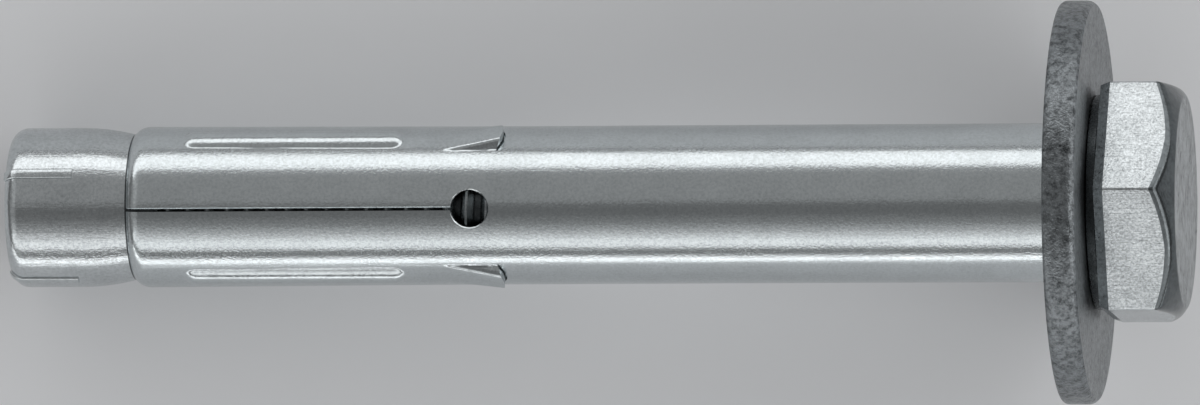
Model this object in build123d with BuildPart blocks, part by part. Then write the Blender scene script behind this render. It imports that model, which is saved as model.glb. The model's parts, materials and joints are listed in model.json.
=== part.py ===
"""Sleeve anchor, size M10: hex bolt, large washer, slit expansion sleeve and cone nut.

Every piece is made round the anchor's own axis, local Z, with the washer's sleeve-side face at
zero, the bolt's head above it and the nut's end below it. The finished pieces are then laid down
as the anchor lies on a table, on the washer's rim and the nut's rounded end.
Millimetres; +X runs towards the head, +Z is up, and the origin is under the middle of the anchor.
"""

import os
from math import asin, atan2, cos, degrees, hypot, radians, sin, tan

from build123d import *

# Bolt
thread_size = 10.0
thread_pitch = 1.5
bolt_end_recess = 1.54
bolt_end_chamfer = 1.0
neck_length = 5.0
neck_chamfer = 0.3
across_flats = 17.0
hex_height = 5.9
head_turn = -5.8
end_flat_inset = 0.6
end_chamfer_angle = 31.5
trim_strip_height = 0.72
trim_strip_inset = 0.25
collar_inset = 0.5
collar_height = 0.75

# Washer
washer_diameter = 30.0
washer_thickness = 2.4
washer_roll_radius = 0.8
washer_roll_depth = 0.3
washer_break_radius = 0.5
washer_break_depth = 0.18

# Sleeve, rolled from sheet
sleeve_length = 69.7
sleeve_wall = 0.85
sleeve_turn = 2.3
finger_count = 3
finger_flare = 0.1
slit_width = 0.2
slit_length = 25.9
relief_hole_diameter = 2.8
seam_width = 0.12
tail_chamfer = 0.15
mouth_round_radius = 1.3
mouth_round_depth = 0.4
mouth_edge_width = 0.13

# Beads pressed out of the middle of each finger
bead_radius = 1.5
bead_height = 0.38
bead_from_mouth = 3.9
bead_before_relief = 5.2

# Wings half-sheared out of the sleeve beside the relief holes
wing_length = 4.55
wing_before_relief = 2.3
wing_height = 0.7
wing_root_width = 2.9
wing_crest_width = 1.9
wing_cut_width = 0.2

# Cone nut
nut_barrel_length = 5.2
nut_blend_radius = 16.0
cone_half_angle = 12.5
nut_small_end_wall = 0.36
nut_end_radius = 1.15
nut_rib_count = 4
nut_rib_turn = -25.3
nut_rib_width = 0.75
nut_rib_height = 0.15
nut_rib_length = 5.25
nut_lead_in = 0.5

# Fits and clearances, all of them on the radius or along the axis
neck_gap = 0.15
washer_gap = 0.25
sleeve_gap = 0.05
nut_over_sleeve = 0.05
stack_gap = 0.05
cone_seat_gap = 0.05
thread_gap = 0.05

# Radii worked out from the sizes above; a metric thread's mean diameter is 0.6495 pitches under its size
thread_radius = (thread_size - 0.6495 * thread_pitch) / 2
sleeve_bore_radius = thread_size / 2 + sleeve_gap
neck_radius = sleeve_bore_radius - neck_gap
sleeve_radius = sleeve_bore_radius + sleeve_wall
mouth_radius = sleeve_radius + finger_flare
mouth_edge_radius = mouth_radius - mouth_round_depth
mouth_bore_radius = mouth_edge_radius - mouth_edge_width
mouth_round_length = (mouth_round_radius**2 - (mouth_round_radius - mouth_round_depth) ** 2) ** 0.5
washer_radius = washer_diameter / 2
washer_bore_radius = thread_size / 2 + washer_gap
washer_break_length = (
    washer_break_radius**2 - (washer_break_radius - washer_break_depth) ** 2
) ** 0.5
collar_radius = across_flats / 2 - collar_inset
end_flat_radius = across_flats / 2 - end_flat_inset

# The nut's outline, with radii from the axis and distances from its end face
cone_slope = radians(cone_half_angle)
nut_radius = sleeve_radius + nut_over_sleeve
nut_bore_radius = thread_radius + thread_gap
cone_start = nut_barrel_length + nut_blend_radius * sin(cone_slope)
cone_start_radius = nut_radius - nut_blend_radius * (1 - cos(cone_slope))
nut_small_radius = nut_bore_radius + nut_small_end_wall
nut_length = cone_start + (cone_start_radius - nut_small_radius) / tan(cone_slope)
mouth_on_cone = cone_start + (cone_start_radius - mouth_bore_radius + cone_seat_gap) / tan(cone_slope)

# Stations along the axis
bearing_plane = washer_thickness + stack_gap
hex_base = bearing_plane + collar_height
head_end = hex_base + hex_height
sleeve_tail = -stack_gap
sleeve_mouth = sleeve_tail - sleeve_length
mouth_round_end = sleeve_mouth + mouth_round_length
relief_station = sleeve_mouth + slit_length
bead_start = sleeve_mouth + bead_from_mouth
bead_end = relief_station - bead_before_relief
wing_root = relief_station - wing_before_relief
nut_end = sleeve_mouth - mouth_on_cone
bolt_end = nut_end + bolt_end_recess

finger_step = 360 / finger_count
finger_middle = sleeve_turn + finger_step / 2
bead_offset = sleeve_radius + finger_flare / 2 + bead_height - bead_radius


with BuildPart() as hex_bolt:
    # Trimmed strip at the bearing side of the hexagon
    with BuildSketch(Plane.XY.offset(hex_base)):
        RegularPolygon(across_flats / 2 - trim_strip_inset, 6, major_radius=False, rotation=head_turn)
    with BuildSketch(Plane.XY.offset(hex_base + trim_strip_height)):
        RegularPolygon(across_flats / 2, 6, major_radius=False, rotation=head_turn)
    loft()
    # Hexagon, with its corners turned off at the end face
    with BuildSketch(Plane.XY.offset(hex_base + trim_strip_height)):
        RegularPolygon(across_flats / 2, 6, major_radius=False, rotation=head_turn)
    extrude(amount=hex_height - trim_strip_height)
    corner_reach = across_flats
    chamfer_drop = (corner_reach - end_flat_radius) * tan(radians(end_chamfer_angle))
    with BuildSketch(Plane.XZ):
        with BuildLine():
            Polyline(
                (0, hex_base - corner_reach),
                (corner_reach, hex_base - corner_reach),
                (corner_reach, head_end - chamfer_drop),
                (end_flat_radius, head_end),
                (0, head_end),
                close=True,
            )
        make_face()
    revolve(axis=Axis.Z, mode=Mode.INTERSECT)
    # Bearing collar, plain neck and threaded shank at its mean diameter
    neck_end = bearing_plane - neck_length
    with BuildSketch(Plane.XZ):
        with BuildLine():
            Polyline(
                (0, bolt_end),
                (thread_radius - bolt_end_chamfer, bolt_end),
                (thread_radius, bolt_end + bolt_end_chamfer),
                (thread_radius, neck_end - (neck_radius - thread_radius)),
                (neck_radius, neck_end),
                (neck_radius, bearing_plane - neck_chamfer),
                (neck_radius + neck_chamfer, bearing_plane),
                (collar_radius, bearing_plane),
                (collar_radius, hex_base),
                (0, hex_base),
                close=True,
            )
        make_face()
    revolve(axis=Axis.Z)


with BuildPart() as washer:
    # Stamped ring, with its rim rolled over on the head's side and a small round break on the sleeve's side
    roll_end_radius = washer_radius - washer_roll_depth
    roll_length = (washer_roll_radius**2 - (washer_roll_radius - washer_roll_depth) ** 2) ** 0.5
    break_end_radius = washer_radius - washer_break_depth
    with BuildSketch(Plane.XZ):
        with BuildLine():
            TangentArc(
                (washer_radius, washer_thickness - roll_length),
                (roll_end_radius, washer_thickness),
                tangent=(0, 1),
            )
            Polyline(
                (roll_end_radius, washer_thickness),
                (washer_bore_radius, washer_thickness),
                (washer_bore_radius, 0),
                (break_end_radius, 0),
            )
            TangentArc((washer_radius, washer_break_length), (break_end_radius, 0), tangent=(0, -1))
            Line((washer_radius, washer_break_length), (washer_radius, washer_thickness - roll_length))
        make_face()
    revolve(axis=Axis.Z)


def sleeve_wall_form(skin):
    """The rolled tube's outer or inner surface as a solid of revolution; skin is its depth in the sheet."""
    tail_radius = sleeve_radius - skin
    with BuildPart() as form:
        with BuildSketch(Plane.XZ):
            with BuildLine():
                Polyline(
                    (0, sleeve_tail),
                    (tail_radius, sleeve_tail),
                    (tail_radius, relief_station),
                    (tail_radius + finger_flare, sleeve_mouth),
                    (0, sleeve_mouth),
                    close=True,
                )
            make_face()
        revolve(axis=Axis.Z)
    return form.part


def bead_form(skin):
    """One pressed bead as a rod with ball ends, laid along the middle of a finger."""
    end_inset = (bead_radius**2 - (bead_radius - bead_height) ** 2) ** 0.5
    ball_stations = [bead_start + end_inset, bead_end - end_inset]
    with BuildPart() as form:
        with Locations((bead_offset, 0, sum(ball_stations) / 2)):
            Cylinder(bead_radius - skin, ball_stations[1] - ball_stations[0])
        with Locations([(bead_offset, 0, station) for station in ball_stations]):
            Sphere(bead_radius - skin)
    return form.part


def wing_form(skin):
    """One half-sheared wing: a ramp that rises towards the head between two slanted flanks."""
    surface = sleeve_radius - skin
    crest = surface + wing_height
    root_y = wing_root_width / 2
    crest_y = wing_crest_width / 2
    root_x = (surface**2 - root_y**2) ** 0.5
    crest_x = (crest**2 - crest_y**2) ** 0.5
    inner_x = root_x - sleeve_wall / 2
    with BuildPart() as form:
        with BuildSketch(Plane.XY.offset(wing_root)):
            with BuildLine():
                Polyline((crest_x, -crest_y), (root_x, -root_y), (inner_x, -root_y))
                Line((inner_x, -root_y), (inner_x, root_y))
                Polyline((inner_x, root_y), (root_x, root_y), (crest_x, crest_y))
                ThreePointArc((crest_x, crest_y), (crest, 0), (crest_x, -crest_y))
            make_face()
        extrude(amount=wing_length)
        with BuildSketch(Plane.XZ):
            with BuildLine():
                Polyline(
                    (0, wing_root),
                    (surface, wing_root),
                    (crest, wing_root + wing_length),
                    (0, wing_root + wing_length),
                    close=True,
                )
            make_face()
        revolve(axis=Axis.Z, mode=Mode.INTERSECT)
    return form.part


with BuildPart() as expansion_sleeve:
    add(sleeve_wall_form(0))
    with PolarLocations(0, finger_count, start_angle=finger_middle):
        add(bead_form(0))
        add(wing_form(0))
    add(sleeve_wall_form(sleeve_wall), mode=Mode.SUBTRACT)
    with PolarLocations(0, finger_count, start_angle=finger_middle):
        add(bead_form(sleeve_wall), mode=Mode.SUBTRACT)
        add(wing_form(sleeve_wall), mode=Mode.SUBTRACT)
        # The cut that frees each wing's raised end
        with Locations((sleeve_radius, 0, wing_root + wing_length + wing_cut_width / 2)):
            Box(2 * sleeve_wall + 2 * wing_height, wing_root_width, wing_cut_width, mode=Mode.SUBTRACT)
    # Slits from the mouth to the relief holes, and the butt seam along the whole tube
    with PolarLocations(sleeve_radius, finger_count, start_angle=sleeve_turn):
        with Locations((0, 0, sleeve_mouth + slit_length / 2)):
            Box(4 * sleeve_wall, slit_width, slit_length, mode=Mode.SUBTRACT)
        with Locations(Location((0, 0, relief_station), (0, 90, 0))):
            Cylinder(relief_hole_diameter / 2, 4 * sleeve_wall, mode=Mode.SUBTRACT)
    with PolarLocations(sleeve_radius, 1, start_angle=sleeve_turn - finger_step):
        with Locations((0, 0, sleeve_tail - sleeve_length / 2)):
            Box(4 * sleeve_wall, seam_width, sleeve_length, mode=Mode.SUBTRACT)
    # Rounding and inner taper at the mouth, and a small bevel at the tail
    with BuildSketch(Plane.XZ):
        with BuildLine():
            RadiusArc(
                (mouth_edge_radius, sleeve_mouth),
                (mouth_radius, mouth_round_end),
                mouth_round_radius,
            )
            Polyline(
                (mouth_radius, mouth_round_end),
                (mouth_radius + sleeve_wall, mouth_round_end),
                (mouth_radius + sleeve_wall, sleeve_mouth),
                (mouth_edge_radius, sleeve_mouth),
            )
        make_face()
        with BuildLine():
            Polyline(
                (0, sleeve_mouth),
                (mouth_bore_radius, sleeve_mouth),
                (0, sleeve_mouth + mouth_bore_radius / tan(cone_slope)),
                close=True,
            )
        make_face()
        with BuildLine():
            Polyline(
                (sleeve_radius - tail_chamfer, sleeve_tail),
                (sleeve_radius, sleeve_tail - tail_chamfer),
                (sleeve_radius, sleeve_tail),
                close=True,
            )
        make_face()
    revolve(axis=Axis.Z, mode=Mode.SUBTRACT)


def nut_profile(grow):
    """Half section of the nut's outside, from its end face to its small end, grown outwards."""
    barrel = nut_radius + grow
    corner = nut_end_radius + grow
    end_face = nut_end - grow
    corner_inset = corner * (1 - cos(radians(45)))
    blend_drop = nut_blend_radius * (1 - cos(cone_slope / 2))
    with BuildSketch(Plane.XZ) as profile:
        with BuildLine():
            Line((0, end_face), (barrel - corner, end_face))
            ThreePointArc(
                (barrel - corner, end_face),
                (barrel - corner_inset, end_face + corner_inset),
                (barrel, end_face + corner),
            )
            Line((barrel, end_face + corner), (barrel, nut_end + nut_barrel_length))
            ThreePointArc(
                (barrel, nut_end + nut_barrel_length),
                (barrel - blend_drop, nut_end + nut_barrel_length + nut_blend_radius * sin(cone_slope / 2)),
                (cone_start_radius + grow, nut_end + cone_start),
            )
            Polyline(
                (cone_start_radius + grow, nut_end + cone_start),
                (nut_small_radius + grow, nut_end + nut_length),
                (0, nut_end + nut_length),
                (0, end_face),
            )
        make_face()
    return profile.sketch


with BuildPart() as cone_nut:
    # Ribs first, as bars across the nut that follow its rounded end
    with BuildSketch(Plane.XY.offset(nut_end)):
        with PolarLocations(nut_radius / 2, nut_rib_count, start_angle=nut_rib_turn):
            Rectangle(nut_radius + 2 * nut_rib_height, nut_rib_width)
    extrude(amount=nut_rib_length)
    revolve(nut_profile(nut_rib_height), axis=Axis.Z, mode=Mode.INTERSECT)
    revolve(nut_profile(0), axis=Axis.Z)
    # Tapped bore at the thread's mean diameter, with a lead-in at the end face
    with Locations((0, 0, nut_end + nut_length / 2)):
        Cylinder(nut_bore_radius, nut_length, mode=Mode.SUBTRACT)
    with Locations((0, 0, nut_end + nut_lead_in / 2)):
        Cone(nut_bore_radius + nut_lead_in, nut_bore_radius, nut_lead_in, mode=Mode.SUBTRACT)


# The anchor lies on the washer's rim, at its sleeve-side edge, and on the nut's rounded end. Each is an
# arc with its centre one radius above the table, which gives the tilt of the axis.
rests_apart = washer_break_length - (nut_end + nut_end_radius)
rests_rise = (washer_radius - washer_break_radius) - (nut_radius - nut_end_radius)
rest_tilt = atan2(rests_rise, rests_apart) + asin(
    (washer_break_radius - nut_end_radius) / hypot(rests_apart, rests_rise)
)
towards_head = (cos(rest_tilt), 0, sin(rest_tilt))
upwards = (-sin(rest_tilt), 0, cos(rest_tilt))
lying = Plane(origin=(0, 0, 0), x_dir=upwards, z_dir=towards_head)
pieces = [hex_bolt, washer, expansion_sleeve, cone_nut]
lying_box = Compound([lying.location * piece.part for piece in pieces]).bounding_box()
resting = Pos(-lying_box.center().X, -lying_box.center().Y, -lying_box.min.Z) * lying.location
for piece in pieces:
    piece.part.move(resting)

print(f"bolt length {bearing_plane - bolt_end:.3f}, nut length {nut_length:.3f}")
print(f"lying at {degrees(rest_tilt):.6f} degrees, washer face centre at {resting.position}")
print(f"box {lying_box.size}")

os.makedirs("parts", exist_ok=True)
hex_bolt.part.label = "hex_bolt"
export_step(hex_bolt.part, "parts/hex_bolt.step")
washer.part.label = "washer"
export_step(washer.part, "parts/washer.step")
expansion_sleeve.part.label = "expansion_sleeve"
export_step(expansion_sleeve.part, "parts/expansion_sleeve.step")
cone_nut.part.label = "cone_nut"
export_step(cone_nut.part, "parts/cone_nut.step")
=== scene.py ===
"""A zinc-plated sleeve anchor, size M10, as it lies on a table: bolt, washer, sleeve and cone nut."""

import json
import math

import bmesh
import bpy
import numpy as np
from mathutils import Matrix, Vector


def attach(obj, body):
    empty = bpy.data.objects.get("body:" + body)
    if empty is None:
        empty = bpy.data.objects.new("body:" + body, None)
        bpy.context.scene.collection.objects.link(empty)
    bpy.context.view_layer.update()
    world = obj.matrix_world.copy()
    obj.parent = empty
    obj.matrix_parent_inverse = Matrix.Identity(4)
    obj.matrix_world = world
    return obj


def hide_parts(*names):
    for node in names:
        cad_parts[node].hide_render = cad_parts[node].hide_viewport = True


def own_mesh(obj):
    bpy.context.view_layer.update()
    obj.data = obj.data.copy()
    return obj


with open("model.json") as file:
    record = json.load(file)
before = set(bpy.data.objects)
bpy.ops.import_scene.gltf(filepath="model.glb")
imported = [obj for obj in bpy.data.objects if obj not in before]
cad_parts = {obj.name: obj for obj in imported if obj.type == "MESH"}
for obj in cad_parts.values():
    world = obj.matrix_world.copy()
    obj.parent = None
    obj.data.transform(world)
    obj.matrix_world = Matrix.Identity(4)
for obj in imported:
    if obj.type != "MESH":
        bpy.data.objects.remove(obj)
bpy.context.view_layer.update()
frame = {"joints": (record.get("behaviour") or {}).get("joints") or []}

# ---------------------------------------------------------------------------------------- Hex bolt
# One cold-forged bolt of carbon steel with a rolled M10 thread, plated with bright zinc. Its hexagon
# was trimmed against the bearing side, which leaves a narrow duller strip there, and its corners were
# turned off at the end face. The plating gives it a pale grey, finely grained gloss.

MM = 0.001
spin_joint = next(joint for joint in frame["joints"] if joint["name"] == "washer_spin")
axis_start = Vector(spin_joint["pos_m"])
towards_head = Vector(spin_joint["axis"])
upwards = Vector((-towards_head.z, 0.0, towards_head.x))
# The anchor's own frame: local X up, local Z towards the head, and the washer's sleeve side at zero
anchor_frame = Matrix.Translation(axis_start) @ Matrix(
    (upwards, towards_head.cross(upwards), towards_head)
).transposed().to_4x4()


def round_grid(along, radius, turn):
    """Points round the anchor's axis in its frame, from millimetres and radians: rows by columns."""
    along, radius, turn = np.broadcast_arrays(along, radius, turn)
    return MM * np.stack((radius * np.cos(turn), radius * np.sin(turn), along), axis=-1)


def grid_faces(points, close_round=False, close_along=False):
    """The four-sided faces between a grid's points, as rows of corner numbers."""
    number = np.arange(points.shape[0] * points.shape[1]).reshape(points.shape[:2])
    if close_round:
        number = np.hstack((number, number[:, :1]))
    if close_along:
        number = np.vstack((number, number[:1]))
    corners = (number[:-1, :-1], number[:-1, 1:], number[1:, 1:], number[1:, :-1])
    return np.stack(corners, axis=-1).reshape(-1, 4)


def finished_piece(name, skins, body, material, sharp_from=16.0):
    """One closed metal piece from grids of points in the anchor's frame, tied to its body."""
    points, faces, count = [], [], 0
    for grid, closings in skins:
        points.append(grid.reshape(-1, 3))
        faces.append(grid_faces(grid, **closings) + count)
        count += grid.shape[0] * grid.shape[1]
    mesh = bpy.data.meshes.new(name)
    mesh.from_pydata(np.concatenate(points).tolist(), [], np.concatenate(faces).tolist())
    shell = bmesh.new()
    shell.from_mesh(mesh)
    bmesh.ops.remove_doubles(shell, verts=shell.verts, dist=2e-6)
    bmesh.ops.recalc_face_normals(shell, faces=shell.faces)
    shell.to_mesh(mesh)
    shell.free()
    return set_down(name, mesh, body, material, sharp_from)


def set_down(name, mesh, body, material, sharp_from=16.0):
    """Sets a mesh from the anchor's frame in place, smooth but for hard edges, on its body."""
    mesh.transform(anchor_frame)
    mesh.shade_smooth()
    mesh.set_sharp_from_angle(angle=math.radians(sharp_from))
    mesh.materials.clear()
    mesh.materials.append(material)
    piece = bpy.data.objects.new(name, mesh)
    bpy.context.scene.collection.objects.link(piece)
    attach(piece, body)
    return piece


def rounded(before, corner, after, steps=5):
    """Points of a soft corner between the ends of two lines, given the sharp corner."""
    share = np.linspace(0.0, 1.0, steps + 1)[:, None]
    start, middle, end = (np.array(place, dtype=object) for place in (before, corner, after))
    return [tuple((1 - s) ** 2 * start + 2 * s * (1 - s) * middle + s * s * end) for s in share[:, 0]]


def linear(colour):
    """An sRGB hex colour as linear red, green, blue and alpha."""
    parts = [int(colour[i : i + 2], 16) / 255 for i in (1, 3, 5)]
    return [p / 12.92 if p <= 0.04045 else ((p + 0.055) / 1.055) ** 2.4 for p in parts] + [1.0]


def add_node(tree, kind, settings=None, links=None):
    """Adds a node, sets its properties and input values by name, and links its inputs."""
    node = tree.nodes.new(kind)
    for key, value in (settings or {}).items():
        if isinstance(key, int) or key in node.inputs:
            node.inputs[key].default_value = value
        else:
            setattr(node, key, value)
    for key, source in (links or {}).items():
        tree.links.new(source, node.inputs[key])
    return node


def zinc_plated_steel(name, colour, dull_colour, roughness, grain, scratches, dullness, speck_size):
    """Electroplated zinc: glossy crystals, dull specks and clouds, and scratches along the anchor."""
    material = bpy.data.materials.new(name)
    material.use_nodes = True
    tree = material.node_tree
    shader = tree.nodes["Principled BSDF"]
    shader.inputs["Metallic"].default_value = 1.0
    place = add_node(tree, "ShaderNodeTexCoord")
    # Turned so that X runs along the anchor, and measured in millimetres
    tilt = math.atan2(towards_head.z, towards_head.x)
    in_line = add_node(
        tree,
        "ShaderNodeMapping",
        {"Rotation": (0.0, tilt, 0.0), "Scale": (1 / MM, 1 / MM, 1 / MM)},
        {"Vector": place.outputs["Object"]},
    )
    # Crystals of the plating are about 0.05 mm across; they are drawn coarser so that they show
    crystal_size = 0.18
    crystals = add_node(
        tree,
        "ShaderNodeTexNoise",
        {"Scale": 1 / crystal_size, "Detail": 2.0, "Roughness": 0.6},
        {"Vector": in_line.outputs[0]},
    )
    # Dull specks and faint clouds, where the bath left the zinc less bright
    cloud_size = 2.5
    specks = add_node(
        tree,
        "ShaderNodeTexNoise",
        {"Scale": 1 / speck_size, "Detail": 4.0, "Roughness": 0.75},
        {"Vector": in_line.outputs[0]},
    )
    clouds = add_node(
        tree,
        "ShaderNodeTexNoise",
        {"Scale": 1 / cloud_size, "Detail": 4.0, "Roughness": 0.6},
        {"Vector": in_line.outputs[0]},
    )
    cloud_share = add_node(
        tree,
        "ShaderNodeMapRange",
        {"From Min": 0.3, "From Max": 0.75, "To Min": 0.0, "To Max": 0.35},
        {"Value": clouds.outputs["Fac"]},
    )
    speck_share = add_node(
        tree,
        "ShaderNodeMapRange",
        {"From Min": 0.42, "From Max": 0.74, "To Min": 0.0, "To Max": 0.8},
        {"Value": specks.outputs["Fac"]},
    )
    both = add_node(
        tree,
        "ShaderNodeMath",
        {"operation": "ADD", "use_clamp": True},
        {0: speck_share.outputs[0], 1: cloud_share.outputs[0]},
    )
    dull_share = add_node(
        tree, "ShaderNodeMath", {"operation": "MULTIPLY", 1: dullness}, {0: both.outputs[0]}
    )
    tint = add_node(
        tree,
        "ShaderNodeMix",
        {"data_type": "RGBA", 6: linear(colour), 7: linear(dull_colour)},
        {0: dull_share.outputs[0]},
    )
    tree.links.new(tint.outputs[2], shader.inputs["Base Color"])
    gloss = add_node(
        tree,
        "ShaderNodeMapRange",
        {"From Min": 0.0, "From Max": 1.0, "To Min": roughness, "To Max": roughness + 0.1},
        {"Value": dull_share.outputs[0]},
    )
    tree.links.new(gloss.outputs[0], shader.inputs["Roughness"])
    # Fine press and handling scratches, stretched along the anchor
    scratch_width, scratch_length = 0.3, 10.0
    drawn_out = add_node(
        tree,
        "ShaderNodeMapping",
        {"Scale": (scratch_width / scratch_length, 1.0, 1.0)},
        {"Vector": in_line.outputs[0]},
    )
    scratch = add_node(
        tree,
        "ShaderNodeTexNoise",
        {"Scale": 1 / scratch_width, "Detail": 3.0, "Roughness": 0.7},
        {"Vector": drawn_out.outputs[0]},
    )
    grain_bump = add_node(
        tree,
        "ShaderNodeBump",
        {"Strength": 1.0, "Distance": grain * MM},
        {"Height": crystals.outputs["Fac"]},
    )
    scratch_bump = add_node(
        tree,
        "ShaderNodeBump",
        {"Strength": 1.0, "Distance": scratches * MM},
        {"Height": scratch.outputs["Fac"], "Normal": grain_bump.outputs[0]},
    )
    tree.links.new(scratch_bump.outputs[0], shader.inputs["Normal"])
    return material


# Sizes are in millimetres; a station is a place along the anchor from the washer's sleeve side
thread_pitch = 1.5
bolt_end = -77.553
bolt_tip_radius = 3.51
bolt_tip_chamfer = 0.57
bearing_plane = 2.45
hex_base = 3.2
head_end = 9.1
across_flats = 17.0
hex_turn = math.radians(-5.8)
facet = math.radians(60)
hex_corner_radius = 0.25
strip_height = 0.72
strip_inset = 0.25
end_flat_radius = 7.9
end_chamfer_slope = math.tan(math.radians(36.0))
largest_softness = 0.4
chamfer_bend = 0.12
collar_radius = 8.0
collar_fillet = 0.1
collar_softness = 0.15
neck_radius = 4.9
neck_fillet = 0.3
neck_end = -2.55
thread_root_radius = 4.08
thread_crest_radius = 4.88

# Columns round the bolt: close together at the hexagon's corners, where each flat turns into the next
corner_turn = facet / 2 - math.atan(
    (across_flats / 2 - hex_corner_radius) * math.tan(facet / 2) / (across_flats / 2)
)
half_side = np.radians([1.2, 2.2, 4.0, 7.0, 10.5, 14.5, 18.5, 22.5, 26.5])
from_corner = np.concatenate(([0.0, corner_turn / 3, corner_turn * 2 / 3, corner_turn], half_side))
one_side = np.concatenate((from_corner, [facet / 2], facet - from_corner[:0:-1]))
bolt_columns = np.concatenate([hex_turn + facet * flat + one_side for flat in range(6)])


def hexagon_radius(half_width):
    """The hexagon's outline with softly rounded corners, at each of the bolt's columns."""
    turn = (bolt_columns - hex_turn) % facet
    turn_from_corner = np.minimum(turn, facet - turn)
    centre = (half_width - hex_corner_radius) / math.cos(facet / 2)
    flat = half_width / np.cos(facet / 2 - turn_from_corner)
    reach = np.maximum(hex_corner_radius**2 - (centre * np.sin(turn_from_corner)) ** 2, 0.0)
    corner = centre * np.cos(turn_from_corner) + np.sqrt(reach)
    return np.where(turn_from_corner < corner_turn, corner, flat)


side = hexagon_radius(across_flats / 2)
strip_side = hexagon_radius(across_flats / 2 - strip_inset)
chamfer_edge = head_end - (side - end_flat_radius) * end_chamfer_slope
chamfer_run = (side - end_flat_radius) / 2
edge_softness = np.minimum(largest_softness, 1.2 * chamfer_run)
strip_top = hex_base + strip_height
bolt_rows = [(0.0, head_end), (3.0, head_end), (6.0, head_end), (7.3, head_end)]
bolt_rows += rounded(
    (end_flat_radius - chamfer_bend, head_end),
    (end_flat_radius, head_end),
    (end_flat_radius + chamfer_bend, head_end - chamfer_bend * end_chamfer_slope),
    3,
)
bolt_rows += rounded(
    (side - edge_softness, chamfer_edge + edge_softness * end_chamfer_slope),
    (side, chamfer_edge),
    (side, chamfer_edge - edge_softness),
)
bolt_rows += [
    (side, chamfer_edge + (strip_top - chamfer_edge) * share) for share in (0.4, 0.7, 0.9)
]
bolt_rows += [(side, strip_top), (strip_side, hex_base), (strip_side - 0.05, hex_base)]
bolt_rows += [(collar_radius + collar_fillet, hex_base), (collar_radius, hex_base - collar_fillet)]
bolt_rows += rounded(
    (collar_radius, bearing_plane + collar_softness),
    (collar_radius, bearing_plane),
    (collar_radius - collar_softness, bearing_plane),
    3,
)
bolt_rows += [(neck_radius + neck_fillet, bearing_plane), (neck_radius, bearing_plane - neck_fillet)]
# Below the neck, the shank runs down in two steps to the root of the thread, and ends in a chamfer
bolt_rows += [(neck_radius, neck_end), (neck_radius - 0.4, neck_end - 0.4)]
bolt_rows += [(thread_root_radius, neck_end - 1.6), (thread_root_radius, bolt_end + bolt_tip_chamfer)]
bolt_rows += [(radius, bolt_end) for radius in (bolt_tip_radius, 2.0, 0.0)]
bolt_radii, bolt_stations = (
    np.array([np.broadcast_to(value, side.shape) for value in column], dtype=float)
    for column in zip(*bolt_rows)
)

# Bright zinc over the pressed flats: a pale, finely grained gloss that mirrors nothing sharply
bolt_plating = zinc_plated_steel(
    "bright_zinc_on_forged_steel", "#D6DBDD", "#4A5052", roughness=0.2, grain=0.03, scratches=0.03,
    dullness=0.7, speck_size=0.2
)
# Painted shade: the root of the thread, the groove over the washer and the parts hidden in the sleeve
# and the nut are painted dark zinc, for the shade in those recesses
painted_shade_zinc = zinc_plated_steel(
    "zinc_with_painted_shade_in_recesses", "#55595B", "#232526", roughness=0.24, grain=0.012, scratches=0.0,
    dullness=0.8, speck_size=0.3
)
# Painted light on the thread: its ridge is painted far lighter than the painted-shade zinc of its root,
# so that its crests show as light lines
thread_painted_light_zinc = zinc_plated_steel(
    "zinc_with_painted_light_on_thread", "#B4B9BB", "#3A3E40", roughness=0.2, grain=0.02, scratches=0.0,
    dullness=0.8, speck_size=0.3
)
# The dies leave the chamfer and its soft edge smooth and the end face coarse; the chamfer is also
# painted dark, a painted reflection of the dark room it mirrors
chamfer_painted_reflection_zinc = zinc_plated_steel(
    "zinc_with_painted_dark_reflection_on_chamfer", "#6C7173", "#3A3E40", roughness=0.16, grain=0.01, scratches=0.0,
    dullness=0.7, speck_size=0.4
)
end_plating = zinc_plated_steel(
    "coarse_zinc_on_headed_end", "#BBC0C2", "#26292A", roughness=0.2, grain=0.15, scratches=0.0,
    dullness=1.0, speck_size=0.8
)
# Trimming tears the steel of the strip, and the zinc over it stays duller than on the flats
strip_plating = zinc_plated_steel(
    "dull_zinc_on_trimmed_strip", "#BEC3C5", "#3A3E40", roughness=0.22, grain=0.03, scratches=0.0,
    dullness=0.8, speck_size=0.3
)
bolt_grid = round_grid(bolt_stations, bolt_radii, bolt_columns[None, :])
bolt_piece = finished_piece(
    "forged_bolt", [(bolt_grid, {"close_round": True})], "bolt", bolt_plating
)
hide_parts("hex_bolt")
bolt_finishes = [bolt_plating, painted_shade_zinc, chamfer_painted_reflection_zinc, end_plating, strip_plating]
for finish in bolt_finishes[1:]:
    bolt_piece.data.materials.append(finish)
to_anchor = anchor_frame.inverted()
# A hair's breadth tells a face from its neighbour
hair = 0.01
for face in bolt_piece.data.polygons:
    centre = to_anchor @ face.center / MM
    from_axis = math.hypot(centre.x, centre.y)
    under_chamfer = head_end - (from_axis - end_flat_radius) * end_chamfer_slope - centre.z
    finish = bolt_plating
    # Painted shade: the collar, the neck and the thread's root below the hexagon are painted dark zinc
    if centre.z < hex_base + hair:
        finish = painted_shade_zinc
    elif centre.z < strip_top - hair:
        finish = strip_plating
    elif centre.z > head_end - 2 * hair:
        finish = end_plating if from_axis < end_flat_radius else bolt_plating
    # Painted reflection: the chamfer and its soft edge are painted dark zinc
    elif under_chamfer < largest_softness + 0.05:
        finish = chamfer_painted_reflection_zinc
    face.material_index = bolt_finishes.index(finish)

# The rolled thread: a rounded ridge that runs along a helix from the bolt's end up to the neck


def tree_input(tree, name, kind, value):
    socket = tree.interface.new_socket(name, in_out="INPUT", socket_type=kind)
    if value is not None:
        socket.default_value = value
    return socket


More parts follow.
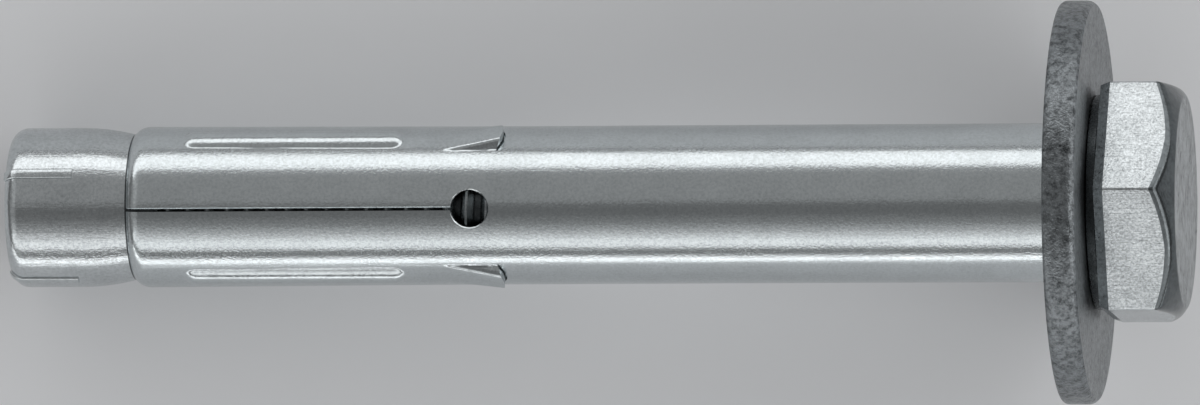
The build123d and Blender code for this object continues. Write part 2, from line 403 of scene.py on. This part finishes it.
def helical_ridge_tree():
    """Sweeps a trapezoid along a helix and trims its crest to a cone at each end of the thread."""
    tree = bpy.data.node_groups.new("helical_ridge", "GeometryNodeTree")
    tree_input(tree, "Geometry", "NodeSocketGeometry", None)
    tree_input(tree, "Pitch", "NodeSocketFloat", thread_pitch * MM)
    tree_input(tree, "Turns", "NodeSocketFloat", 10.0)
    tree_input(tree, "Steps per turn", "NodeSocketInt", 72)
    tree_input(tree, "Middle radius", "NodeSocketFloat", 4.4 * MM)
    tree_input(tree, "Ridge height", "NodeSocketFloat", 0.9 * MM)
    tree_input(tree, "Width at the inner edge", "NodeSocketFloat", 1.2 * MM)
    tree_input(tree, "Width at the outer edge", "NodeSocketFloat", 0.19 * MM)
    tree_input(tree, "Edge rounding", "NodeSocketFloat", 0.04 * MM)
    tree_input(tree, "Radius limit at the start", "NodeSocketFloat", 10.0 * MM)
    tree_input(tree, "Radius limit at the end", "NodeSocketFloat", 10.0 * MM)
    tree_input(tree, "Slope of the start limit", "NodeSocketFloat", 1.0)
    tree_input(tree, "Slope of the end limit", "NodeSocketFloat", 1.0)
    tree_input(tree, "Steel", "NodeSocketMaterial", None)
    tree.interface.new_socket("Geometry", in_out="OUTPUT", socket_type="NodeSocketGeometry")
    asked = tree.nodes.new("NodeGroupInput").outputs
    height = add_node(
        tree, "ShaderNodeMath", {"operation": "MULTIPLY"}, {0: asked["Pitch"], 1: asked["Turns"]}
    )
    helix = add_node(
        tree,
        "GeometryNodeCurveSpiral",
        None,
        {
            "Resolution": asked["Steps per turn"],
            "Rotations": asked["Turns"],
            "Start Radius": asked["Middle radius"],
            "End Radius": asked["Middle radius"],
            "Height": height.outputs[0],
        },
    )
    upright = add_node(
        tree, "GeometryNodeSetCurveNormal", {"mode": "Z_UP"}, {"Curve": helix.outputs["Curve"]}
    )
    outline = add_node(
        tree,
        "GeometryNodeCurvePrimitiveQuadrilateral",
        {"mode": "TRAPEZOID", "Offset": 0.0},
        {
            "Bottom Width": asked["Width at the inner edge"],
            "Top Width": asked["Width at the outer edge"],
            "Height": asked["Ridge height"],
        },
    )
    soft_outline = add_node(
        tree,
        "GeometryNodeFilletCurve",
        {"mode": "POLY", "Count": 2, "Limit Radius": True},
        {"Curve": outline.outputs["Curve"], "Radius": asked["Edge rounding"]},
    )
    outwards = add_node(
        tree,
        "GeometryNodeTransform",
        {"Rotation": (0.0, 0.0, math.radians(90))},
        {"Geometry": soft_outline.outputs["Curve"]},
    )
    ridge = add_node(
        tree,
        "GeometryNodeCurveToMesh",
        {"Fill Caps": True},
        {"Curve": upright.outputs["Curve"], "Profile Curve": outwards.outputs["Geometry"]},
    )
    place = tree.nodes.new("GeometryNodeInputPosition")
    part = add_node(tree, "ShaderNodeSeparateXYZ", None, {0: place.outputs[0]})
    squared = add_node(
        tree, "ShaderNodeMath", {"operation": "MULTIPLY"}, {0: part.outputs["X"], 1: part.outputs["X"]}
    )
    both = add_node(
        tree,
        "ShaderNodeMath",
        {"operation": "MULTIPLY_ADD"},
        {0: part.outputs["Y"], 1: part.outputs["Y"], 2: squared.outputs[0]},
    )
    radius = add_node(tree, "ShaderNodeMath", {"operation": "SQRT"}, {0: both.outputs[0]})
    start_limit = add_node(
        tree,
        "ShaderNodeMath",
        {"operation": "MULTIPLY_ADD"},
        {
            0: part.outputs["Z"],
            1: asked["Slope of the start limit"],
            2: asked["Radius limit at the start"],
        },
    )
    left = add_node(
        tree, "ShaderNodeMath", {"operation": "SUBTRACT"}, {0: height.outputs[0], 1: part.outputs["Z"]}
    )
    end_limit = add_node(
        tree,
        "ShaderNodeMath",
        {"operation": "MULTIPLY_ADD"},
        {0: left.outputs[0], 1: asked["Slope of the end limit"], 2: asked["Radius limit at the end"]},
    )
    limit = add_node(
        tree,
        "ShaderNodeMath",
        {"operation": "MINIMUM"},
        {0: start_limit.outputs[0], 1: end_limit.outputs[0]},
    )
    ratio = add_node(
        tree, "ShaderNodeMath", {"operation": "DIVIDE"}, {0: limit.outputs[0], 1: radius.outputs[0]}
    )
    share = add_node(tree, "ShaderNodeMath", {"operation": "MINIMUM", 1: 1.0}, {0: ratio.outputs[0]})
    drawn_in = add_node(
        tree, "ShaderNodeCombineXYZ", {"Z": 1.0}, {"X": share.outputs[0], "Y": share.outputs[0]}
    )
    trimmed_place = add_node(
        tree,
        "ShaderNodeVectorMath",
        {"operation": "MULTIPLY"},
        {0: place.outputs[0], 1: drawn_in.outputs[0]},
    )
    trimmed = add_node(
        tree,
        "GeometryNodeSetPosition",
        None,
        {"Geometry": ridge.outputs["Mesh"], "Position": trimmed_place.outputs[0]},
    )
    real = add_node(
        tree, "GeometryNodeRealizeInstances", None, {"Geometry": trimmed.outputs["Geometry"]}
    )
    painted = add_node(
        tree,
        "GeometryNodeSetMaterial",
        None,
        {"Geometry": real.outputs["Geometry"], "Material": asked["Steel"]},
    )
    result = tree.nodes.new("NodeGroupOutput")
    tree.links.new(painted.outputs["Geometry"], result.inputs["Geometry"])
    return tree


def grown(name, tree, sizes, base_mesh=None):
    """A plain mesh that the tree makes, with the inputs named in sizes set by identifier."""
    base = bpy.data.objects.new(name + "_base", base_mesh or bpy.data.meshes.new(name + "_base"))
    bpy.context.scene.collection.objects.link(base)
    modifier = base.modifiers.new("grown", "NODES")
    modifier.node_group = tree
    for socket in tree.interface.items_tree:
        if socket.item_type == "SOCKET" and socket.in_out == "INPUT" and socket.name in sizes:
            modifier[socket.identifier] = sizes[socket.name]
    seen = base.evaluated_get(bpy.context.evaluated_depsgraph_get())
    mesh = bpy.data.meshes.new_from_object(seen)
    mesh.name = name
    base.modifiers.remove(modifier)
    bpy.data.objects.remove(base)
    return mesh


ridge_tree = helical_ridge_tree()
thread_steps = 72
thread_start = bolt_end + 0.35
thread_length = neck_end - 0.6 - thread_start
# Each ridge starts a little inside the steel that carries it
sunk = 0.1
ridge_height = thread_crest_radius - thread_root_radius + sunk
crest_width = thread_pitch / 8
foot_width = crest_width + 2 * ridge_height * math.tan(math.radians(30))
# Painted light: the thread's ridge takes the zinc painted lighter than its dark root
bolt_thread_mesh = grown(
    "rolled_bolt_thread",
    ridge_tree,
    {
        "Pitch": thread_pitch * MM,
        "Turns": thread_length / thread_pitch,
        "Steps per turn": thread_steps,
        "Middle radius": (thread_crest_radius - ridge_height / 2) * MM,
        "Ridge height": ridge_height * MM,
        "Width at the inner edge": foot_width * MM,
        "Width at the outer edge": crest_width * MM,
        "Edge rounding": 0.09 * MM,
        "Radius limit at the start": 3.6 * MM,
        "Slope of the start limit": 1.0,
        "Radius limit at the end": 3.9 * MM,
        "Slope of the end limit": 0.5,
        "Steel": thread_painted_light_zinc,
    },
)
bolt_thread_mesh.transform(Matrix.Translation((0.0, 0.0, thread_start * MM)))
set_down("rolled_bolt_thread", bolt_thread_mesh, "bolt", thread_painted_light_zinc, 25.0)

# ------------------------------------------------------------------------------------------ Washer
# One flat ring stamped from thick steel sheet, loose on the bolt. The punch rolled its rim over on
# the head's side, and its dull zinc keeps the coarse grain of dark and light specks of tumbled steel.

washer_radius = 15.0
washer_bore_radius = 5.25
washer_thickness = 2.4
roll_radius = 0.8
roll_depth = 0.3
break_radius = 0.5
break_depth = 0.18
bore_chamfer = 0.12
washer_face_radii = (14.2, 13.0, 11.0, 9.0, 7.0, 5.7)
washer_rim_stations = (0.7, 1.1, 1.5)
washer_columns = np.linspace(0.0, 2 * math.pi, 288, endpoint=False)


def edge_arc(radius, depth, steps):
    """A rolled edge's arc, from rim to face: distances in from the rim and down from the face."""
    turn = np.linspace(0.0, math.acos(1 - depth / radius), steps + 1)
    length = radius * math.sin(turn[-1])
    return [(radius * (1 - math.cos(t)), length - radius * math.sin(t)) for t in turn]


washer_rows = [
    (washer_radius - inwards, washer_thickness - down)
    for inwards, down in edge_arc(roll_radius, roll_depth, 7)
]
washer_rows += [(radius, washer_thickness) for radius in washer_face_radii]
washer_rows += [
    (washer_bore_radius + bore_chamfer, washer_thickness),
    (washer_bore_radius, washer_thickness - bore_chamfer),
    (washer_bore_radius, bore_chamfer),
    (washer_bore_radius + bore_chamfer, 0.0),
]
washer_rows += [(radius, 0.0) for radius in reversed(washer_face_radii)]
washer_rows += [
    (washer_radius - inwards, down)
    for inwards, down in reversed(edge_arc(break_radius, break_depth, 4))
]
washer_rows += [(washer_radius, station) for station in washer_rim_stations]
washer_radii, washer_stations = (np.array(column)[:, None] for column in zip(*washer_rows))

# Dull zinc on tumbled steel: coarse dark and light specks, and only a soft sheen
washer_plating = zinc_plated_steel(
    "dull_zinc_on_stamped_steel", "#94999C", "#101213", roughness=0.28, grain=0.07, scratches=0.0,
    dullness=1.0, speck_size=0.5
)
washer_grid = round_grid(washer_stations, washer_radii, washer_columns[None, :])
turned_ring = {"close_round": True, "close_along": True}
washer_piece = finished_piece(
    "stamped_washer", [(washer_grid, turned_ring)], "washer", washer_plating
)
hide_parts("washer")

# ------------------------------------------------------------------------------------------ Sleeve
# One strip of sheet steel, cut and pressed while flat and then rolled into a tube whose ends butt
# along a seam. Three slits run from its mouth to round relief holes and part it into fingers, each
# with a pressed bead and a half-sheared wing. It is plated with bright zinc, and a fine grain shows.

sleeve_radius = 5.9
sheet = 0.85
sleeve_tail = -0.05
sleeve_mouth = -69.75
relief_station = -43.85
relief_radius = 1.4
half_slit = 0.1
half_seam = 0.06
edge_break = 0.07
finger_flare = 0.1
finger_middles = [62.3, 182.3, 302.3]
split_station = -46.3
bead_middle_radius = 4.83
bead_radius = 1.5
bead_ends = (-65.85, -49.05)
bead_end_inset = 0.999
bead_foot_softness = 0.015
wing_root = -46.15
wing_end = -41.6
wing_height = 0.7
wing_half_root = 1.45
wing_half_crest = 0.95
wing_crease_softness = 0.16
wing_foot_softness = 0.03
wing_tongue = 0.5
tongue_half_width = 2.2
tongue_fade = 0.6
tongue_reach = 1.6
cut_width = 0.14
cut_depth = 0.3
burr_share = 0.25
tail_chamfer = 0.15
mouth_round_radius = 1.3
mouth_round_end = -68.73
mouth_bore_radius = 5.47
cone_turn = math.radians(12.5)


def soft_floor(height, softness):
    """The larger of a height and zero, with a soft corner between them."""
    return (height + np.sqrt(height**2 + softness**2)) / 2


def bead_height(along, turn, surface, skin):
    """Height of the pressed bead over a skin of the sheet: a rod with ball ends."""
    start, end = bead_ends[0] + bead_end_inset, bead_ends[1] - bead_end_inset
    beyond = np.maximum(np.maximum(start - along, along - end), 0.0)
    rod = np.maximum((bead_radius - skin) ** 2 - beyond**2, 0.0)
    reach = np.maximum(rod - (bead_middle_radius * np.sin(turn)) ** 2, 0.0)
    return soft_floor(bead_middle_radius * np.cos(turn) + np.sqrt(reach) - surface, bead_foot_softness)


def wing_rise(along, turn, surface):
    """Height of the half-sheared wing: a ramp between two slanted flanks."""
    ramp = wing_height * np.clip((along - wing_root) / (wing_end - wing_root), 0.0, 1.0)
    aside = (surface + ramp) * np.abs(np.sin(turn))
    flank = (wing_half_root - aside) * wing_height / (wing_half_root - wing_half_crest)
    lower = (ramp + flank - np.sqrt((ramp - flank) ** 2 + wing_crease_softness**2)) / 2
    return soft_floor(lower, wing_foot_softness)


def gap_at(along, seam):
    """Half the gap beside a finger: slit, relief hole, then the butt seam or none."""
    hole = np.sqrt(np.maximum(relief_radius**2 - (along - relief_station) ** 2, 0.0))
    beyond = half_seam if seam else 0.0
    return np.where(along < relief_station, np.maximum(hole, half_slit), np.maximum(hole, beyond))


def sheet_skin(rows, columns, depth, seams, breaks):
    """One skin of a third of the sleeve, as grids of its places along, its radii and its turns."""
    along = np.repeat(rows[:, None], len(columns), axis=1)
    share = np.abs(columns)[None, :]
    # Columns within the first 60 percent of a side stay straight; the rest give way to the cuts
    straight = 0.6
    beside = np.clip((share - straight) / (1 - straight), 0.0, 1.0)
    low = columns[None, :] < 0
    gap = np.where(low, gap_at(along, seams[0]), gap_at(along, seams[1]))
    surface = sleeve_radius - depth + finger_flare * np.clip(
        (relief_station - along) / (relief_station - sleeve_mouth), 0.0, 1.0
    )
    # The skin's edge stands back from the cut by the broken edge, all round the relief hole too
    ring = (along - relief_station) / relief_radius
    on_ring = np.abs(ring) <= 1.0 + hair / 100
    at_hole = on_ring & ((ring > 0) | (gap > half_slit + hair / 10))
    back_at_hole = breaks * np.sqrt(np.maximum(1 - ring**2, 0.0))
    # One side of each slit keeps the sharp burr of the shears
    back_at_slit = np.where(gap > 0, breaks * np.where(low, burr_share, 1.0), 0.0)
    back = np.where(at_hole, back_at_hole, back_at_slit)
    inset = np.arcsin(np.minimum((gap + back) / surface, 1.0))
    turn = np.sign(columns)[None, :] * (math.radians(60) * share - inset * beside)
    # The wing's end is a round tongue, so the rows near it bow
    near = np.abs(turn) * surface
    tongue = wing_tongue * np.clip(near / wing_half_root, 0.0, 1.0) ** 2
    reach = np.clip(1 - np.abs(along - wing_end - cut_width / 2) / tongue_reach, 0.0, 1.0)
    moved = along - tongue * reach * np.clip((tongue_half_width - near) / tongue_fade, 0.0, 1.0)
    moved = moved + np.where(at_hole, breaks * ring * beside, 0.0)
    return along, moved, surface, turn


def mouth_shape(along, radius, inner):
    """Rounds the outside of the mouth over, and opens its inside with a taper for the cone."""
    if inner:
        return np.maximum(radius, mouth_bore_radius - (along - sleeve_mouth) * math.tan(cone_turn))
    drop = mouth_round_radius - np.sqrt(
        np.maximum(mouth_round_radius**2 - np.minimum(along - mouth_round_end, 0.0) ** 2, 0.0)
    )
    return radius - drop


def sleeve_third(rows, middle, seams):
    """Outer skin, broken edge and inner skin of a third of the sleeve, at the given stations."""
    # Columns stand close together over the bead and the wing
    over_bead = np.linspace(0.0, 0.27, 24)
    beyond = [0.3, 0.36, 0.44, 0.52, 0.6, 0.68, 0.76, 0.84, 0.91, 0.96, 1.0]
    half = np.concatenate((over_bead, beyond))
    columns = np.concatenate((-half[:0:-1], half))
    grids = []
    for depth, breaks in ((0.0, edge_break), (edge_break, 0.0), (sheet, 0.0)):
        along, moved, surface, turn = sheet_skin(rows, columns, depth, seams, breaks)
        inner = depth == sheet
        risen = surface + bead_height(moved, turn, surface, sheet if inner else 0.0)
        past = along > wing_end + hair / 10
        in_cut = past & (along < wing_end + cut_width - hair / 10)
        beside_wing = np.abs(turn) * surface < wing_half_root
        rise = np.where(past, 0.0, wing_rise(along, turn, surface))
        if not inner:
            rise = np.where(in_cut & beside_wing, -cut_depth, rise)
        risen = mouth_shape(moved, risen + rise, inner)
        if not inner:
            risen = risen - np.clip(tail_chamfer - (sleeve_tail - moved), 0.0, tail_chamfer)
        grids.append(round_grid(moved, risen, turn + math.radians(middle)))
    return grids


def rows_in_order(*groups):
    """The stations of all groups together, each once, to a tenth of a micrometre."""
    return np.unique(np.round(np.concatenate(groups), 4))


# Rows of the tail part: round the relief hole, up the wing, over its cut, then along the plain tube
slit_meets_hole = 0.9974
hole_turns = np.linspace(-math.asin(slit_meets_hole), math.pi / 2, 21)
hole_rows = relief_station + relief_radius * np.sin(hole_turns)
wing_rows = np.linspace(wing_root, wing_end - 0.12, 30)
wing_rows = np.concatenate((wing_rows, [wing_end - 0.05, wing_end]))
cut_rows = wing_end + np.array(
    [0.012, 0.1, cut_width - 0.012, cut_width, cut_width + 0.1, 0.5, 0.9]
)
tube_rows = [-40.0, -39.0, *range(-36, -3, 4), -1.0, -0.35, -0.2, sleeve_tail]
tail_part_rows = rows_in_order([split_station], wing_rows, hole_rows, cut_rows, tube_rows)

# Rows of a finger: close together at the bead's two round ends and over the rounded mouth
bead_arc = bead_end_inset * (1 - np.cos(np.linspace(0, math.pi / 2, 9)))
mouth_arc = math.asin((mouth_round_end - sleeve_mouth) / mouth_round_radius)
mouth_rows = mouth_round_end - mouth_round_radius * np.sin(np.linspace(0.0, mouth_arc, 8))
finger_rows = rows_in_order(
    [sleeve_mouth, -68.0, -67.0, -66.2, -48.7, -48.0, -47.2, split_station],
    mouth_rows,
    bead_ends[0] + bead_arc,
    np.linspace(-63.0, -52.0, 9),
    bead_ends[1] - bead_arc,
)

# Bright zinc on smooth rolled sheet: nearly a mirror, which a fine grain and faint clouds soften
sleeve_plating = zinc_plated_steel(
    "bright_zinc_on_rolled_sheet_steel", "#CBD1D3", "#8C9193", roughness=0.16, grain=0.011,
    scratches=0.003, dullness=0.45, speck_size=0.22
)


def closed_skins(grids, rows, seams):
    """Outer skin, inner skin and cut walls of a third of the sleeve, and its two end walls."""
    outer, edge, inner = grids
    skins = [(outer, {}), (inner, {})]
    for column, seam in ((0, seams[0]), (-1, seams[1])):
        gap = gap_at(rows, seam)
        walls = np.nonzero(gap > 1e-6)[0]
        last = walls[-1] + 1 if walls[-1] + 1 < len(rows) else walls[-1]
        cut = slice(0, last + 1)
        wall = np.stack((outer[cut, column], edge[cut, column], inner[cut, column]), axis=1)
        skins.append((wall, {}))
    for row in (0, -1):
        skins.append((np.stack((outer[row], edge[row], inner[row]), axis=0), {}))
    return skins


# The butt seam lies between the second and the third finger: which sides of each third meet it
seam_sides = [(False, False), (False, True), (True, False)]
tube_skins = []
for middle, seams in zip(finger_middles, seam_sides):
    grids = sleeve_third(tail_part_rows, middle, seams)
    tube_skins += closed_skins(grids, tail_part_rows, seams)
sleeve_tube = finished_piece(
    "rolled_sleeve", tube_skins, "sleeve", sleeve_plating, 24.0
)
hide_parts("expansion_sleeve")

for number, (middle, seams) in enumerate(zip(finger_middles, seam_sides), 1):
    finger_skins = closed_skins(sleeve_third(finger_rows, middle, seams), finger_rows, seams)
    finger = finished_piece(
        f"sleeve_finger_{number}", finger_skins, "sleeve", sleeve_plating, 24.0
    )
    # Each finger's root point at the relief holes is worked out, and the finger gets a mesh of its own
    root_radius = sleeve_radius - sheet / 2
    root = anchor_frame @ Vector(round_grid(split_station, root_radius, math.radians(middle)))
    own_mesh(finger)

# ---------------------------------------------------------------------------------------- Cone nut
# One nut pressed from steel wire, tapped and plated with bright zinc: a barrel with a rounded end, a
# taper that wedges into the sleeve's mouth, and four small ribs that keep it from turning. The press
# left fine scratches along it.

nut_end = -79.093
nut_radius = 5.95
nut_end_radius = 1.15
nut_barrel_length = 5.2
nut_blend_radius = 16.0
nut_small_radius = 4.923
nut_length = 11.585
nut_bore_radius = 5.02
nut_lead_in = 0.5
nut_tip_bore_radius = 4.56
nut_tip_chamfer = 0.1
painted_shade_from = sleeve_mouth - 0.12
# The lead-in cone cuts into the rounded end, so the rounding starts a little in from the end face
rounding_cut = 0.151
nut_rim_turn = math.acos(1 - rounding_cut / nut_end_radius)
cone_start = nut_barrel_length + nut_blend_radius * math.sin(cone_turn)

nut_corner = [
    (nut_radius - nut_end_radius * (1 - math.sin(t)), nut_end + nut_end_radius * (1 - math.cos(t)))
    for t in np.linspace(nut_rim_turn, math.pi / 2, 11)
]
nut_barrel = [(nut_radius, nut_end + station) for station in (1.6, 2.2, 3.0, 4.0, 4.8)]
nut_blend = [
    (
        nut_radius - nut_blend_radius * (1 - math.cos(t)),
        nut_end + nut_barrel_length + nut_blend_radius * math.sin(t),
    )
    for t in np.linspace(0.0, cone_turn, 7)
]
nut_taper = [
    (nut_blend[-1][0] - (station - nut_end - cone_start) * math.tan(cone_turn), station)
    for station in (painted_shade_from, sleeve_mouth + 0.7)
]
nut_small_end = nut_end + nut_length
nut_taper += [(nut_small_radius + 0.02, nut_small_end - 0.09), (nut_small_radius - 0.06, nut_small_end)]
nut_bore = [
    (nut_tip_bore_radius + nut_tip_chamfer, nut_small_end),
    (nut_tip_bore_radius, nut_small_end - nut_tip_chamfer),
    (nut_tip_bore_radius, nut_small_end - 0.6),
]
nut_bore += [(nut_bore_radius, nut_end + station) for station in (9.6, 6.0, nut_lead_in)]
nut_rows = nut_corner + nut_barrel + nut_blend + nut_taper + nut_bore
nut_radii, nut_stations = (np.array(column)[:, None] for column in zip(*nut_rows))
nut_columns = np.linspace(0.0, 2 * math.pi, 240, endpoint=False)

# Bright zinc on pressed steel: as glossy as the sleeve, with fine scratches along it
nut_plating = zinc_plated_steel(
    "bright_zinc_on_pressed_steel", "#CDD2D4", "#777D7F", roughness=0.16, grain=0.012, scratches=0.012,
    dullness=0.5, speck_size=0.25
)
nut_grid = round_grid(nut_stations, nut_radii, nut_columns[None, :])
nut_piece = finished_piece(
    "pressed_cone_nut", [(nut_grid, turned_ring)], "cone", nut_plating, 20.0
)
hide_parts("cone_nut")
# Painted shade: where the taper sits in the sleeve, the nut is painted dark zinc, for the shade inside
# the sleeve
nut_finishes = [nut_plating, painted_shade_zinc]
nut_piece.data.materials.append(painted_shade_zinc)
for face in nut_piece.data.polygons:
    if (to_anchor @ face.center).z > painted_shade_from * MM:
        face.material_index = nut_finishes.index(painted_shade_zinc)

nut_thread_inner = 4.25
nut_ridge_height = nut_bore_radius - nut_thread_inner + sunk
nut_crest_width = thread_pitch / 4
nut_foot_width = nut_crest_width + 2 * nut_ridge_height * math.tan(math.radians(30))
nut_thread_turns = 5.6
# The nut's ridge runs in the bolt's groove: both helices share one start, half a pitch apart
groove_start = thread_start + thread_pitch / 2
skipped_pitches = math.ceil((nut_end + 0.7 - groove_start) / thread_pitch)
nut_thread_start = groove_start + skipped_pitches * thread_pitch
# Painted shade: the nut's thread is painted dark zinc, for the shade inside the nut
nut_thread_mesh = grown(
    "tapped_nut_thread",
    ridge_tree,
    {
        "Pitch": thread_pitch * MM,
        "Turns": nut_thread_turns,
        "Steps per turn": thread_steps,
        "Middle radius": (nut_thread_inner + nut_ridge_height / 2) * MM,
        "Ridge height": nut_ridge_height * MM,
        "Width at the inner edge": nut_crest_width * MM,
        "Width at the outer edge": nut_foot_width * MM,
        "Edge rounding": 0.05 * MM,
        "Steel": painted_shade_zinc,
    },
)
nut_thread_mesh.transform(Matrix.Translation((0.0, 0.0, nut_thread_start * MM)))
set_down("tapped_nut_thread", nut_thread_mesh, "cone", painted_shade_zinc, 25.0)

# The four ribs: one bar swept along the nut's own outline, then set round the axis
rib_count = 4
rib_turn = math.radians(-25.3)
rib_width = 0.75
rib_height = 0.15
rib_end = 5.25


def rib_tree():
    """Sweeps a soft-edged bar along the outline that comes in, and repeats it evenly round the axis."""
    tree = bpy.data.node_groups.new("nut_ribs", "GeometryNodeTree")
    tree_input(tree, "Geometry", "NodeSocketGeometry", None)
    tree_input(tree, "Rib width", "NodeSocketFloat", rib_width * MM)
    tree_input(tree, "Rib thickness", "NodeSocketFloat", 2 * rib_height * MM)
    tree_input(tree, "Edge rounding", "NodeSocketFloat", 0.05 * MM)
    tree_input(tree, "Rib count", "NodeSocketInt", rib_count)
    tree_input(tree, "First rib", "NodeSocketFloat", 0.0)
    tree_input(tree, "Steel", "NodeSocketMaterial", None)
    tree.interface.new_socket("Geometry", in_out="OUTPUT", socket_type="NodeSocketGeometry")
    asked = tree.nodes.new("NodeGroupInput").outputs
    outline = add_node(tree, "GeometryNodeMeshToCurve", None, {"Mesh": asked["Geometry"]})
    section = add_node(
        tree,
        "GeometryNodeCurvePrimitiveQuadrilateral",
        {"mode": "RECTANGLE"},
        {"Width": asked["Rib width"], "Height": asked["Rib thickness"]},
    )
    soft_section = add_node(
        tree,
        "GeometryNodeFilletCurve",
        {"mode": "POLY", "Count": 4, "Limit Radius": True},
        {"Curve": section.outputs["Curve"], "Radius": asked["Edge rounding"]},
    )
    bar = add_node(
        tree,
        "GeometryNodeCurveToMesh",
        {"Fill Caps": True},
        {"Curve": outline.outputs["Curve"], "Profile Curve": soft_section.outputs["Curve"]},
    )
    hub = add_node(tree, "GeometryNodePoints", None, {"Count": asked["Rib count"]})
    number = tree.nodes.new("GeometryNodeInputIndex")
    step = add_node(
        tree, "ShaderNodeMath", {"operation": "DIVIDE", 0: 2 * math.pi}, {1: asked["Rib count"]}
    )
    turn = add_node(
        tree,
        "ShaderNodeMath",
        {"operation": "MULTIPLY_ADD"},
        {0: number.outputs[0], 1: step.outputs[0], 2: asked["First rib"]},
    )
    turned = add_node(tree, "ShaderNodeCombineXYZ", None, {"Z": turn.outputs[0]})
    ribs = add_node(
        tree,
        "GeometryNodeInstanceOnPoints",
        None,
        {"Points": hub.outputs[0], "Instance": bar.outputs["Mesh"], "Rotation": turned.outputs[0]},
    )
    real = add_node(tree, "GeometryNodeRealizeInstances", None, {"Geometry": ribs.outputs["Instances"]})
    painted = add_node(
        tree,
        "GeometryNodeSetMaterial",
        None,
        {"Geometry": real.outputs["Geometry"], "Material": asked["Steel"]},
    )
    result = tree.nodes.new("NodeGroupOutput")
    tree.links.new(painted.outputs["Geometry"], result.inputs["Geometry"])
    return tree


rib_line = nut_corner + [(nut_radius, nut_end + rib_end)]
rib_path = bpy.data.meshes.new("rib_path")
rib_path.from_pydata(
    [(radius * MM, 0.0, station * MM) for radius, station in rib_line],
    [(place, place + 1) for place in range(len(rib_line) - 1)],
    [],
)
rib_mesh = grown(
    "nut_ribs",
    rib_tree(),
    {
        "Rib width": rib_width * MM,
        "Rib thickness": 2 * rib_height * MM,
        "Edge rounding": 0.14 * MM,
        "Rib count": rib_count,
        "First rib": rib_turn,
        "Steel": nut_plating,
    },
    rib_path,
)
set_down("nut_ribs", rib_mesh, "cone", nut_plating, 30.0)

# ------------------------------------------------------------------------- Table, light and camera
# The anchor lies on a plain pale table, painted matt, under soft lamps that stand round it. The
# camera looks almost straight down on it through a long lens.

table_mesh = bpy.data.meshes.new("table_top")
reach = 3.0
table_corners = [(-reach, -reach, 0.0), (reach, -reach, 0.0), (reach, reach, 0.0), (-reach, reach, 0.0)]
table_mesh.from_pydata(table_corners, [], [(0, 1, 2, 3)])
# Matt emulsion paint on board: an even pale grey without a gloss
table_paint = bpy.data.materials.new("matt_pale_grey_paint")
table_paint.use_nodes = True
table_shader = table_paint.node_tree.nodes["Principled BSDF"]
table_shader.inputs["Base Color"].default_value = linear("#EDEEF0")
table_shader.inputs["Roughness"].default_value = 0.9
table_mesh.materials.append(table_paint)
table_top = bpy.data.objects.new("table_top", table_mesh)
bpy.context.scene.collection.objects.link(table_top)

# An even grey room shows in the zinc between the lamps
world = bpy.data.worlds.new("soft_room")
world.use_nodes = True
room_light = world.node_tree.nodes["Background"]
room_light.inputs["Color"].default_value = (0.18, 0.18, 0.18, 1.0)
room_light.inputs["Strength"].default_value = 1.0
bpy.context.scene.world = world


def softbox(name, lowest, highest, brightness, length=2.0, around=0.0):
    """A lamp that fills the angles given, in degrees from the vertical, turned round it if asked."""
    distance = 0.8
    middle, half = math.radians((lowest + highest) / 2), math.radians(highest - lowest) / 2
    lamp = bpy.data.lights.new(name, "AREA")
    lamp.shape = "RECTANGLE"
    lamp.size, lamp.size_y = length, 2 * distance * math.tan(half)
    lamp.energy = brightness * math.pi * lamp.size * lamp.size_y
    stand = bpy.data.objects.new(name, lamp)
    turn = Matrix.Rotation(math.radians(around), 3, "Z")
    stand.location = turn @ Vector((0.0, distance * math.sin(middle), distance * math.cos(middle)))
    stand.rotation_euler = (-middle, 0.0, math.radians(around))
    stand.visible_camera = False
    bpy.context.scene.collection.objects.link(stand)


# Strips and panels along the far side, then along the near side; their edges draw the sleeve's bands
softbox("far_low_strip", 56.0, 82.0, 1.4)
softbox("far_soft_panel", 3.5, 54.0, 0.17)
softbox("near_soft_panel", -30.0, -19.0, 0.09)
softbox("near_softbox_top", -42.0, -31.0, 0.33)
softbox("near_softbox_middle", -51.0, -42.0, 0.7)
softbox("near_softbox_bottom", -66.0, -51.0, 1.15)
softbox("near_low_strip", -99.0, -82.0, 2.2)
# A wide panel past the head draws the bright line on the washer's rolled edge and lights the table
softbox("head_end_panel", 42.0, 68.0, 1.4, 1.3, -90.0)
softbox("nut_end_panel", 30.0, 70.0, 0.15, 1.3, 90.0)

camera_data = bpy.data.cameras.new("camera")
camera_data.sensor_width = 36.0
camera_distance = 1.3
view_width = 0.08947
camera_data.lens = camera_data.sensor_width * camera_distance / view_width
camera = bpy.data.objects.new("camera", camera_data)
lean = math.radians(1.5)
aim_station = -35.0
aim_aside = Vector((0.165, 0.175, 0.0))
aim = axis_start + (towards_head * aim_station + aim_aside) * MM
back = Vector((math.sin(lean), 0.0, math.cos(lean)))
camera.location = aim + back * camera_distance
roll = math.radians(0.29)
right = Vector((math.cos(lean), 0.0, -math.sin(lean)))
ahead = Vector((0.0, 1.0, 0.0))
turned_right = right * math.cos(roll) - ahead * math.sin(roll)
turned_up = ahead * math.cos(roll) + right * math.sin(roll)
camera.rotation_euler = Matrix((turned_right, turned_up, back)).transposed().to_euler()
camera_data.clip_start, camera_data.clip_end = 0.1, 20.0
bpy.context.scene.collection.objects.link(camera)
bpy.context.scene.camera = camera
bpy.context.scene.view_settings.view_transform = "Standard"
